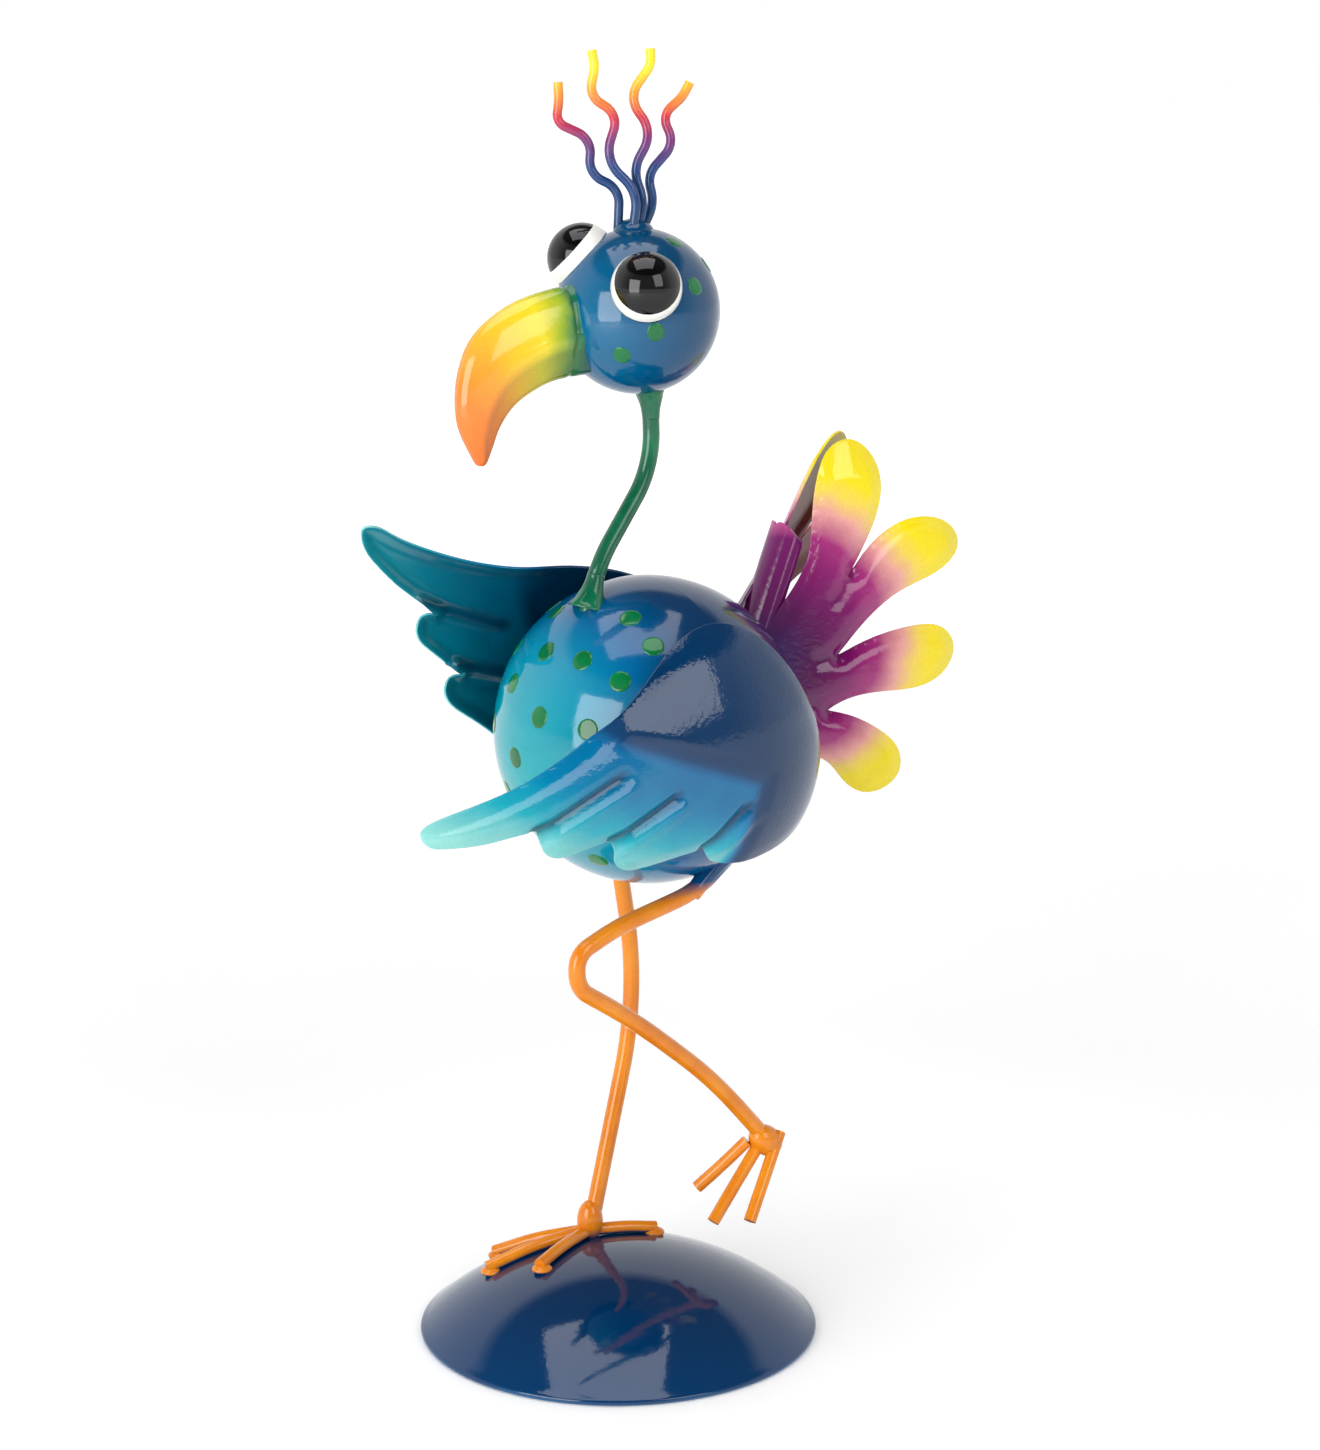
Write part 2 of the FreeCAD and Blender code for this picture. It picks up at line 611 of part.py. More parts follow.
doc.recompute()
for thing in doc.Objects:
    if "Invalid" in thing.State or "Error" in thing.State:
        raise RuntimeError("%s did not build: %s" % (thing.Name, thing.State))
for thing in subparts:
    shape = thing.Shape
    if shape.isNull() or not shape.isValid():
        raise RuntimeError("%s has a bad shape" % thing.Label)
    print("%-22s solids %d volume %9.1f" % (thing.Label, len(shape.Solids), shape.Volume))
for thing in subparts:
    thing.Shape.exportStep("parts/%s.step" % thing.Label)
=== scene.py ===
"""Looks of the garden bird figurine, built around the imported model.

Lengths in this file are millimetres, in the model's own frame, until mm() turns them into Blender's metres.
"""
import bpy
import math
from mathutils import Matrix, Vector, noise
from mathutils.geometry import delaunay_2d_cdt


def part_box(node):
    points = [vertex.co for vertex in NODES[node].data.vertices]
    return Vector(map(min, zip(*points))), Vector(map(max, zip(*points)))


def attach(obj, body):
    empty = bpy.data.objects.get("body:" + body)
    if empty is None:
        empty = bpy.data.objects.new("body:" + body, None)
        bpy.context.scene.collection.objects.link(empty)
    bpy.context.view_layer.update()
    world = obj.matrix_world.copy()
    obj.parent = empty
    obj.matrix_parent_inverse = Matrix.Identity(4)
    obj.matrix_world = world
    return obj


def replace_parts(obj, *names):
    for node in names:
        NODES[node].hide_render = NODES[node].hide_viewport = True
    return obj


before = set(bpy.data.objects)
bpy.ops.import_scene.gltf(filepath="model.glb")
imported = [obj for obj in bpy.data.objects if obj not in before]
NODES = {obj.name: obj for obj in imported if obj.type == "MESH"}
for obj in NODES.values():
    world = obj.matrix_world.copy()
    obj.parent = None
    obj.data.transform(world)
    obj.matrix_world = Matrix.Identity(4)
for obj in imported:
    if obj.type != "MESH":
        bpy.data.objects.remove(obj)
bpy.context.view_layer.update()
MM = 0.001


def mm(*values):
    return Vector(values) * MM


def node_box(*names):
    """Lowest and highest corner of some nodes together, in millimetres."""
    boxes = [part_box(name) for name in names]
    low = Vector([min(box[0][axis] for box in boxes) for axis in range(3)]) / MM
    high = Vector([max(box[1][axis] for box in boxes) for axis in range(3)]) / MM
    return low, high


body_low, body_high = node_box("body_front_shell", "body_back_shell")
head_low, head_high = node_box("head_front_shell", "head_back_shell")
BODY = (body_low + body_high) / 2
HEAD = (head_low + head_high) / 2
BODY_RADIUS = (body_high.z - body_low.z) / 2
HEAD_RADIUS = (head_high.z - head_low.z) / 2
base_low, base_high = node_box("base_dome")
BASE_RADIUS = (base_high.x - base_low.x) / 2
BASE_HEIGHT = base_high.z


# ---------------------------------------------------------------- materials

def srgb(red, green, blue):
    """Linear colour from 0-255 screen values."""
    def linear(value):
        value = value / 255
        return value / 12.92 if value <= 0.04045 else ((value + 0.055) / 1.055) ** 2.4
    return (linear(red), linear(green), linear(blue), 1.0)


class Paint:
    """Glossy enamel: a node tree with a colour field, faint mottling, and sprayed orange-peel bump."""

    def __init__(self, name, roughness=0.09, peel=0.05, coat=0.1):
        self.material = bpy.data.materials.new(name)
        self.material.use_nodes = True
        self.tree = self.material.node_tree
        self.tree.nodes.clear()
        self.shader = self.add("ShaderNodeBsdfPrincipled")
        out = self.add("ShaderNodeOutputMaterial")
        self.join(self.shader.outputs["BSDF"], out.inputs["Surface"])
        self.shader.inputs["Coat Weight"].default_value = coat
        self.shader.inputs["Coat Roughness"].default_value = 0.03
        self.shader.inputs["IOR"].default_value = 1.5
        self.shader.inputs["Specular IOR Level"].default_value = 0.45
        self.place = self.add("ShaderNodeTexCoord").outputs["Object"]
        self.grain(roughness, peel)

    def add(self, kind, **settings):
        node = self.tree.nodes.new(kind)
        for key, value in settings.items():
            setattr(node, key, value)
        return node

    def join(self, output, target):
        self.tree.links.new(output, target)

    def noise(self, scale, detail=3.0):
        node = self.add("ShaderNodeTexNoise")
        node.inputs["Scale"].default_value = scale
        node.inputs["Detail"].default_value = detail
        self.join(self.place, node.inputs["Vector"])
        return node.outputs["Fac"]

    def remap(self, value, low, high, out_low, out_high):
        node = self.add("ShaderNodeMapRange")
        self.join(value, node.inputs["Value"])
        for key, number in (("From Min", low), ("From Max", high), ("To Min", out_low), ("To Max", out_high)):
            node.inputs[key].default_value = number
        return node.outputs["Result"]

    def grain(self, roughness, peel):
        rough = self.remap(self.noise(240), 0.35, 0.65, 0.8 * roughness, 1.3 * roughness)
        self.join(rough, self.shader.inputs["Roughness"])
        bump = self.add("ShaderNodeBump")
        bump.inputs["Strength"].default_value = peel
        bump.inputs["Distance"].default_value = 0.0004
        self.join(self.noise(620, 2.0), bump.inputs["Height"])
        self.join(bump.outputs["Normal"], self.shader.inputs["Normal"])
        self.join(bump.outputs["Normal"], self.shader.inputs["Coat Normal"])

    def along(self, start, end):
        """0 at one point and 1 at another, in millimetres, constant across."""
        run = Vector(end) - Vector(start)
        shift = self.add("ShaderNodeVectorMath", operation="SUBTRACT")
        self.join(self.place, shift.inputs[0])
        shift.inputs[1].default_value = mm(*start)
        dot = self.add("ShaderNodeVectorMath", operation="DOT_PRODUCT")
        self.join(shift.outputs[0], dot.inputs[0])
        dot.inputs[1].default_value = run / (run.length_squared * MM)
        return dot.outputs["Value"]

    def near(self, centre, reach):
        """1 at a point, falling to 0 at the reach."""
        gap = self.add("ShaderNodeVectorMath", operation="DISTANCE")
        self.join(self.place, gap.inputs[0])
        gap.inputs[1].default_value = mm(*centre)
        return self.remap(gap.outputs["Value"], 0, reach * MM, 1, 0)

    def attribute(self, name):
        return self.add("ShaderNodeAttribute", attribute_name=name).outputs["Fac"]

    def mottled(self, value, amount=0.05, scale=60):
        """The value shifted a little here and there, as an airbrush leaves it."""
        shift = self.remap(self.noise(scale), 0, 1, -amount, amount)
        total = self.add("ShaderNodeMath", operation="ADD")
        self.join(value, total.inputs[0])
        self.join(shift, total.inputs[1])
        return total.outputs[0]

    def ramp(self, value, *stops):
        node = self.add("ShaderNodeValToRGB")
        ramp = node.color_ramp
        while len(ramp.elements) < len(stops):
            ramp.elements.new(0.5)
        for element, (position, colour) in zip(ramp.elements, stops):
            element.position = position
            element.color = srgb(*colour)
        self.join(value, node.inputs["Fac"])
        return node.outputs["Color"]

    def blend(self, value, first, second):
        node = self.add("ShaderNodeMix", data_type="RGBA")
        self.join(value, node.inputs[0])
        self.join(first, node.inputs[6])
        self.join(second, node.inputs[7])
        return node.outputs[2]

    def colour(self, output):
        """Last step: the colour field, with a trace of pigment speckle, into the shader."""
        speckle = self.remap(self.noise(1500, 1.0), 0.3, 0.7, 0.96, 1.04)
        node = self.add("ShaderNodeVectorMath", operation="SCALE")
        self.join(output, node.inputs[0])
        self.join(speckle, node.inputs["Scale"])
        self.join(node.outputs[0], self.shader.inputs["Base Color"])
        return self.material


def wear(node, material):
    """Paint a carried-over CAD node through its object's slots; its mesh stays as it came."""
    for slot in node.material_slots:
        slot.material = material


def body_paint():
    """Aqua breast facing ahead and down, through blue, to navy over the back."""
    paint = Paint("body_enamel")
    breast = Vector((-0.15, -0.95, -0.25)).normalized()
    field = paint.along(BODY - breast * BODY_RADIUS, BODY + breast * BODY_RADIUS)
    colour = paint.ramp(paint.mottled(field, 0.03, 40), (0.0, (0, 38, 74)), (0.45, (0, 54, 98)),
                        (0.66, (0, 92, 144)), (0.84, (0, 132, 160)), (1.0, (0, 152, 160)))
    return paint.colour(colour)


def head_paint():
    """Brighter blue in front, navy behind."""
    paint = Paint("head_enamel")
    field = paint.near(HEAD + Vector((4, -24, -4)), 56)
    colour = paint.ramp(paint.mottled(field, 0.03, 60), (0.0, (0, 38, 74)), (0.55, (0, 74, 114)),
                        (1.0, (0, 102, 144)))
    return paint.colour(colour)


def base_paint():
    """Navy dome; the paler rolled edge is a painted highlight along the rim."""
    paint = Paint("base_enamel", roughness=0.07)
    field = paint.along((0, 0, 0), (0, 0, BASE_HEIGHT))
    # The pale first stop, over the lowest 1.6 mm, is a painted highlight on the rolled edge.
    colour = paint.ramp(paint.mottled(field, 0.06, 30), (0.0, (20, 92, 140)), (0.06, (0, 52, 96)),
                        (1.0, (0, 40, 80)))
    return paint.colour(colour)


def plain_paint(name, colour, low, high, **settings):
    """One colour that drifts between two close shades."""
    paint = Paint(name, **settings)
    field = paint.noise(70)
    return paint.colour(paint.ramp(field, (0.3, low), (0.5, colour), (0.7, high)))


def leg_paint():
    """Orange rods, blued by overspray where the hips meet the body, and blue as painted shade on the faces
    that look down near the dome.
    """
    paint = Paint("leg_enamel", roughness=0.16, peel=0.09)
    orange = paint.ramp(paint.noise(70), (0.3, (214, 118, 8)), (0.5, (224, 130, 14)), (0.7, (230, 140, 22)))
    blue = paint.ramp(paint.noise(70), (0.3, (0, 60, 108)), (0.7, (0, 78, 128)))
    field = paint.mottled(paint.along((0, 0, body_low.z), (0, 0, body_low.z + 4)), 0.1, 300)
    limited = paint.remap(field, 0, 1, 0, 1)
    shade = paint.add("ShaderNodeSeparateXYZ")
    paint.join(paint.add("ShaderNodeNewGeometry").outputs["Normal"], shade.inputs[0])
    # Faces that look down, close to the dome, turn blue: painted shade on the undersides of the rods.
    under = paint.remap(shade.outputs["Z"], -0.15, -0.55, 0, 1)
    low = paint.remap(paint.along((0, 0, BASE_HEIGHT + 3), (0, 0, BASE_HEIGHT + 6)), 0, 1, 1, 0)
    underside_shade = paint.add("ShaderNodeMath", operation="MULTIPLY")
    paint.join(under, underside_shade.inputs[0])
    paint.join(low, underside_shade.inputs[1])
    either = paint.add("ShaderNodeMath", operation="MAXIMUM")
    paint.join(limited, either.inputs[0])
    paint.join(underside_shade.outputs[0], either.inputs[1])
    return paint.colour(paint.blend(either.outputs[0], orange, blue))


def hair_paint():
    """Blue at the scalp, through purple and red, to yellow ends."""
    paint = Paint("hair_enamel", roughness=0.14)
    top = HEAD.z + HEAD_RADIUS
    field = paint.along((0, 0, top), (0, 0, top + 52))
    colour = paint.ramp(paint.mottled(field, 0.03, 160), (0.0, (10, 62, 106)), (0.36, (26, 58, 116)),
                        (0.52, (112, 44, 108)), (0.66, (196, 52, 62)), (0.8, (232, 150, 44)),
                        (0.94, (240, 214, 40)))
    return paint.colour(colour)


BODY_PAINT = body_paint()
HEAD_PAINT = head_paint()
BASE_PAINT = base_paint()
LEG_PAINT = leg_paint()
HAIR_PAINT = hair_paint()
NECK_PAINT = plain_paint("neck_enamel", (8, 92, 62), (4, 74, 52), (18, 112, 76), roughness=0.1)
DOT_PAINT = plain_paint("dot_enamel", (0, 104, 52), (0, 92, 44), (6, 116, 60))


EYE_RADIUS = 11.1
# Middle of each eye from the middle of the head, and the direction it looks in.
EYES = (((18.7, -12, 8.8), (0.752, -0.533, 0.391)), ((-11.5, -13, 16.4), (-0.416, -0.604, 0.680)))
# The white band, in eye radii along the direction the eye looks in.
EYE_WHITE = (0.02, 0.41)


def eye_paint():
    """Black ball with a white band square to the direction that the eye looks in."""
    paint = Paint("eye_enamel", roughness=0.05, peel=0.03, coat=0.0)
    mask = None
    for offset, axis in EYES:
        centre = HEAD + Vector(offset)
        look = Vector(axis).normalized()
        height = paint.along(centre, centre + look * EYE_RADIUS)
        wobble = paint.mottled(height, 0.012, 260)
        white = paint.add("ShaderNodeMath", operation="GREATER_THAN")
        paint.join(wobble, white.inputs[0])
        white.inputs[1].default_value = EYE_WHITE[0]
        black = paint.add("ShaderNodeMath", operation="LESS_THAN")
        paint.join(wobble, black.inputs[0])
        black.inputs[1].default_value = EYE_WHITE[1]
        both = paint.add("ShaderNodeMath", operation="MULTIPLY")
        paint.join(white.outputs[0], both.inputs[0])
        paint.join(black.outputs[0], both.inputs[1])
        close = paint.near(centre, EYE_RADIUS * 1.06)
        inside = paint.add("ShaderNodeMath", operation="GREATER_THAN")
        paint.join(close, inside.inputs[0])
        inside.inputs[1].default_value = 0.0
        ring = paint.add("ShaderNodeMath", operation="MULTIPLY")
        paint.join(both.outputs[0], ring.inputs[0])
        paint.join(inside.outputs[0], ring.inputs[1])
        if mask is None:
            mask = ring.outputs[0]
        else:
            either = paint.add("ShaderNodeMath", operation="MAXIMUM")
            paint.join(mask, either.inputs[0])
            paint.join(ring.outputs[0], either.inputs[1])
            mask = either.outputs[0]
    return paint.colour(paint.ramp(mask, (0.45, (6, 6, 8)), (0.55, (236, 234, 228))))


EYE_PAINT = eye_paint()


def wing_paint():
    """Navy shoulder to pale aqua feather tips, with painted shade in the grooves; the fields ride on the
    mesh.
    """
    paint = Paint("wing_enamel", roughness=0.1, peel=0.2)
    tone = paint.mottled(paint.attribute("tone"), 0.05, 90)
    colour = paint.ramp(tone, (0.0, (0, 44, 82)), (0.2, (0, 56, 100)), (0.4, (0, 92, 142)),
                        (0.56, (0, 122, 162)), (0.76, (30, 160, 176)), (1.0, (134, 204, 196)))
    # The crease field mixes in painted shade along the grooves between the feathers.
    dark = paint.ramp(paint.attribute("crease"), (0.0, (0, 30, 70)), (1.0, (0, 24, 60)))
    return paint.colour(paint.blend(paint.remap(paint.attribute("crease"), 0, 1, 0, 0.8), colour, dark))


def wing_shaded_side_paint():
    """The inner, concave side of the sheet is a darker teal, a copy of the outer ramp in painted shade."""
    paint = Paint("wing_shaded_side", roughness=0.16, peel=0.06)
    tone = paint.mottled(paint.attribute("tone"), 0.05, 90)
    colour = paint.ramp(tone, (0.0, (0, 36, 64)), (0.4, (0, 72, 100)), (0.75, (0, 106, 126)),
                        (1.0, (20, 130, 142)))
    # The crease field adds more painted shade in the grooves.
    dark = paint.ramp(paint.attribute("crease"), (0.0, (0, 30, 60)), (1.0, (0, 24, 50)))
    return paint.colour(paint.blend(paint.remap(paint.attribute("crease"), 0, 1, 0, 0.7), colour, dark))


def tail_paint():
    """Blue at the body, purple and magenta, a rosy cream band, then yellow petal tips; painted shade in the
    grooves.
    """
    paint = Paint("tail_enamel", roughness=0.12, peel=0.15)
    tone = paint.mottled(paint.attribute("tone"), 0.035, 110)
    colour = paint.ramp(tone, (0.08, (50, 26, 96)), (0.26, (90, 12, 84)), (0.44, (124, 14, 98)),
                        (0.58, (160, 44, 116)), (0.69, (226, 158, 150)), (0.77, (236, 206, 84)),
                        (0.84, (238, 216, 22)), (1.0, (230, 208, 16)))
    # The crease field mixes in painted shade along the grooves between the petals.
    dark = paint.ramp(paint.attribute("crease"), (0.0, (62, 12, 70)), (1.0, (46, 8, 62)))
    return paint.colour(paint.blend(paint.remap(paint.attribute("crease"), 0, 1, 0, 0.75), colour, dark))


def tail_shaded_side_paint():
    """The unlit inner side of the petals, in darker shades of the same colours: painted shade."""
    paint = Paint("tail_shaded_side", roughness=0.2, peel=0.06)
    tone = paint.mottled(paint.attribute("tone"), 0.05, 110)
    colour = paint.ramp(tone, (0.0, (24, 18, 70)), (0.4, (84, 14, 60)), (0.66, (110, 34, 40)),
                        (0.85, (128, 104, 20)), (1.0, (176, 152, 30)))
    return paint.colour(colour)


def covert_paint():
    """Indigo where it meets the body, magenta above, a pink edge at the lobes."""
    paint = Paint("covert_enamel", roughness=0.1, peel=0.06)
    low, high = node_box("tail_covert")
    field = paint.mottled(paint.along((0, 0, low.z), (0, 0, high.z)), 0.03, 110)
    return paint.colour(paint.ramp(field, (0.0, (10, 44, 100)), (0.3, (62, 18, 96)), (0.5, (98, 12, 88)),
                                   (0.9, (112, 18, 96)), (1.0, (190, 80, 140))))


def beak_paint():
    """Green at the root, yellow, then orange at the hook, darker below the side ridge and at the pinch as
    painted shade.
    """
    paint = Paint("beak_enamel", roughness=0.1, peel=0.06)
    tone = paint.mottled(paint.attribute("tone"), 0.03, 140)
    colour = paint.ramp(tone, (0.0, (0, 76, 96)), (0.085, (24, 112, 76)), (0.13, (150, 176, 50)),
                        (0.22, (230, 208, 40)), (0.34, (240, 188, 44)), (0.48, (238, 152, 46)),
                        (0.62, (230, 124, 38)), (1.0, (214, 98, 28)))
    # The second ramp is the painted shade that the crease field lays below the side ridge and at the pinch
    # beside the head.
    dark = paint.ramp(tone, (0.0, (0, 66, 84)), (0.1, (54, 106, 46)), (0.24, (166, 164, 34)),
                      (0.38, (200, 152, 32)), (0.55, (196, 112, 32)), (1.0, (188, 80, 24)))
    return paint.colour(paint.blend(paint.remap(paint.attribute("crease"), 0, 1, 0, 0.75), colour, dark))


WING_PAINT = wing_paint()
WING_SHADED_SIDE = wing_shaded_side_paint()
TAIL_PAINT = tail_paint()
TAIL_SHADED_SIDE = tail_shaded_side_paint()
COVERT_PAINT = covert_paint()
BEAK_PAINT = beak_paint()


# ---------------------------------------------------------------- mesh helpers

def smooth(value, low, high):
    """0 below one value, 1 above the other, eased between."""
    step = min(max((value - low) / (high - low), 0.0), 1.0)
    return step * step * (3 - 2 * step)


def gap_to_line(point, start, end):
    """Distance to a segment, how far along it the nearest point is, and the side it lies on."""
    run = end - start
    along = min(max((point - start).dot(run) / run.length_squared, 0.0), 1.0)
    return (point - start - run * along).length, along, run.cross(point - start)


def make_piece(name, vertices, faces, material, fields=None, shaded_side=None):
    """Mesh object in the model's frame from millimetre points, riding the body."""
    mesh = bpy.data.meshes.new(name)
    mesh.from_pydata([tuple(Vector(vertex) * MM) for vertex in vertices], [], faces)
    mesh.update()
    for key, values in (fields or {}).items():
        layer = mesh.attributes.new(key, "FLOAT", "POINT")
        for index, value in enumerate(values):
            layer.data[index].value = value
    mesh.shade_smooth()
    piece = bpy.data.objects.new(name, mesh)
    bpy.context.scene.collection.objects.link(piece)
    mesh.materials.append(material)
    # The second slot holds the inner side's paint, a copy of the outer one in painted shade.
    if shaded_side:
        mesh.materials.append(shaded_side)
    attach(piece, "root")
    return piece


# A face whose normal leans this far toward the sheet's outward side belongs to its outer skin.
OUTER_SKIN = 0.45


def skin_loop(name, place, facing):
    """Outline of a sheet node's outer skin, as a ring of points in the sheet's own plane."""
    mesh = NODES[name].data
    inverse = place.inverted()
    facing = Vector(facing)
    first_at = {}
    same = []
    for corner in mesh.vertices:
        spot = tuple(round(value, 6) for value in corner.co)
        same.append(first_at.setdefault(spot, corner.index))
    uses = {}
    for face in mesh.polygons:
        if face.normal.dot(facing) < OUTER_SKIN:
            continue
        corners = [same[index] for index in face.vertices]
        for first, second in zip(corners, corners[1:] + corners[:1]):
            if (second, first) in uses:
                del uses[(second, first)]
            else:
                uses[(first, second)] = True
    following = {}
    for first, second in uses:
        following[first] = second
    loops = []
    while following:
        start = next(iter(following))
        loop = [start]
        at = following.pop(start)
        while at != start and at in following:
            loop.append(at)
            at = following.pop(at)
        loops.append(loop)
    ring = max(loops, key=len)
    return [(inverse @ (mesh.vertices[index].co / MM)).xy for index in ring]


def resampled(ring, spacing):
    """Points evenly along a closed ring, keeping its corners."""
    points = []
    for first, second in zip(ring, ring[1:] + ring[:1]):
        run = second - first
        steps = max(1, round(run.length / spacing))
        for step in range(steps):
            points.append(first + run * (step / steps))
    kept = [points[0]]
    for point in points[1:]:
        if (point - kept[-1]).length > 0.3 * spacing:
            kept.append(point)
    if (kept[0] - kept[-1]).length < 0.3 * spacing:
        kept.pop()
    return kept


def inside(point, ring):
    """Whether a point lies within a closed ring."""
    hit = False
    for first, second in zip(ring, ring[1:] + ring[:1]):
        if (first.y > point.y) != (second.y > point.y):
            cross = first.x + (point.y - first.y) / (second.y - first.y) * (second.x - first.x)
            if point.x < cross:
                hit = not hit
    return hit


def rim_gap(point, ring):
    """Distance from a point to the nearest stretch of a closed ring."""
    return min(gap_to_line(point, first, second)[0] for first, second in zip(ring, ring[1:] + ring[:1]))


def sheet_piece(name, node, place, facing, spacing, sheet, relief, spread, fields, material, shaded_side):
    """Pressed sheet: the node's outline filled with a grid, spread, lifted by the relief, and thickened."""
    ring = resampled(skin_loop(node, place, facing), spacing)
    points = list(ring)
    low = Vector((min(p.x for p in ring), min(p.y for p in ring)))
    high = Vector((max(p.x for p in ring), max(p.y for p in ring)))
    rows = int((high.y - low.y) / spacing) + 1
    columns = int((high.x - low.x) / spacing) + 1
    gaps = [0.0] * len(ring)
    for row in range(rows):
        for column in range(columns):
            shift = 0.5 * spacing * (row % 2)
            point = low + Vector((column * spacing + shift, row * spacing * 0.9))
            if not inside(point, ring):
                continue
            gap = rim_gap(point, ring)
            if gap > 0.55 * spacing:
                points.append(point)
                gaps.append(gap)
    loop = list(range(len(ring)))
    flat, _, faces = delaunay_2d_cdt(points, [], [loop], 1, 1e-5)[:3]
    if len(flat) != len(points):
        gaps = [rim_gap(point, ring) for point in flat]
    vertices = [place @ (spread(p).to_3d() + Vector((0, 0, relief(p, gap)))) for p, gap in zip(flat, gaps)]
    values = {key: [field(p, gap) for p, gap in zip(flat, gaps)] for key, field in fields.items()}
    piece = make_piece(name, vertices, faces, material, values, shaded_side)
    outward = (place.to_3x3() @ Vector((0, 0, 1))).normalized()
    upright = sum(face.normal.dot(outward) * face.area for face in piece.data.polygons)
    if upright < 0:
        piece.data.flip_normals()
    thick = piece.modifiers.new("sheet", "SOLIDIFY")
    thick.thickness = sheet * MM
    thick.offset = -1.0
    thick.material_offset = 1 if shaded_side else 0
    soft = piece.modifiers.new("rolled_edge", "BEVEL")
    soft.width = 0.28 * sheet * MM
    soft.segments = 2
    soft.limit_method = "ANGLE"
    soft.angle_limit = math.radians(50)
    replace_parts(piece, node)
    return piece


def place_of(x_axis, y_axis, z_axis, origin):
    """Matrix that carries a sheet's own plane into the model's frame, millimetres both sides."""
    turn = Matrix((x_axis, y_axis, z_axis)).transposed()
    return Matrix.Translation(origin) @ turn.to_4x4()


# ---------------------------------------------------------------- wings

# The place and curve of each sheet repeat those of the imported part.
WING_STANDOFF = 54.0
WING_ARCH = 60.0
WING_WRAP = 16.0
WING_CUP = 66.0
WING_SHEET = 1.0
WING_SPACING = 1.05
WING_GROOVE = 1.9
# Width of the painted shade along each groove.
WING_SHADE_WIDTH = 1.4
# Grooves between the feathers, from the notch in the edge to the inner end.
WING_GROOVES = (
    (Vector((81.5, 4)), Vector((46.6, 11.8))),
    (Vector((57.5, -8)), Vector((31.2, -0.3))),
    (Vector((24.5, -23.5)), Vector((8.7, -11.7))),
)
# Feather tips, from the longest to the one under the shoulder.
WING_TIPS = (Vector((116, 18)), Vector((80, -7.5)), Vector((55, -21.5)), Vector((20, -33)))


def wing_surface(x, y):
    """Outward height of the plain pressed surface."""
    slope = WING_WRAP / math.sqrt(WING_ARCH ** 2 - WING_WRAP ** 2)
    if x < WING_WRAP:
        profile = math.sqrt(WING_ARCH ** 2 - x * x) - WING_ARCH
    else:
        profile = math.sqrt(WING_ARCH ** 2 - WING_WRAP ** 2) - WING_ARCH - slope * (x - WING_WRAP)
    return math.sqrt((WING_CUP + profile) ** 2 - y * y) - WING_CUP


def groove_field(point, grooves, width):
    """How deep in a groove a point lies (0-1), and how high on the ridge along its lower side."""
    deep = 0.0
    ridge = 0.0
    for notch, end in grooves:
        gap, along, turn = gap_to_line(point, notch, end)
        fade = 1 - smooth(along, 0.82, 1.0)
        deep = max(deep, math.exp(-((gap / width) ** 2)) * fade)
        if turn > 0:
            ridge = max(ridge, math.exp(-(((gap - 2.6 * width) / (1.2 * width)) ** 2)) * fade)
    return deep, ridge


# Crease between the smooth shoulder and the feathers: a point on it, then the way to the shoulder side.
CREASE_POINT = Vector((7.9, -8.1))
CREASE_NORMAL = Vector((-0.555, 0.832))
# The crease turns down behind the last feather; this is the way to the rear from there.
HEEL_NORMAL = Vector((-0.93, -0.368))


def shoulder_share(point, start, end):
    """1 on the smooth shoulder and behind the last feather, 0 out on the feathers."""
    above = smooth((point - CREASE_POINT).dot(CREASE_NORMAL), start, end) * (1 - smooth(point.x, 42, 60))
    behind = smooth((point - CREASE_POINT).dot(HEEL_NORMAL), start, end)
    return max(above, behind)


def heel_rim(point):
    """Raised rim that curls round the last feather."""
    height = (point - CREASE_POINT).dot(HEEL_NORMAL)
    return math.exp(-(((height + 0.5) / 1.7) ** 2)) * smooth(-point.y, 6, 12) * (1 - smooth(-point.y, 22, 30))


def wing_relief(point, gap):
    """Height with the bulged shoulder, the grooves and ridges, and the rolled edge."""
    deep, ridge = groove_field(point, WING_GROOVES, WING_GROOVE)
    feather = 1 - shoulder_share(point, -6, 4)
    roll = 1 - smooth(gap, 0, 6.5)
    bulge = 2.0 * shoulder_share(point, -2.5, 8) + 1.1 * heel_rim(point)
    lift = bulge - 1.7 * deep + 0.9 * ridge - (0.4 + 1.8 * feather) * roll * roll
    return wing_surface(point.x, point.y) + lift


def unspread(point):
    """The wing keeps its outline as it is."""
    return point


def wing_tone(point, gap):
    """0 on the shoulder, rising along each feather to 1 at its tip."""
    reach = WING_TIPS[0].x
    for high, low in zip(WING_TIPS, WING_TIPS[1:]):
        if point.y <= high.y:
            share = min(max((high.y - point.y) / (high.y - low.y), 0.0), 1.0)
            reach = high.x + (low.x - high.x) * share
    back = reach - point.x
    tip = 1 - 0.56 * smooth(back, -6, 66) ** 0.8
    shoulder = shoulder_share(point, -2, 5)
    return tip * (1 - shoulder) + 0.04 * shoulder


# Painted shade along the grooves, for the wing paints.
def wing_painted_shade(point, gap):
    return groove_field(point, WING_GROOVES, WING_SHADE_WIDTH)[0]


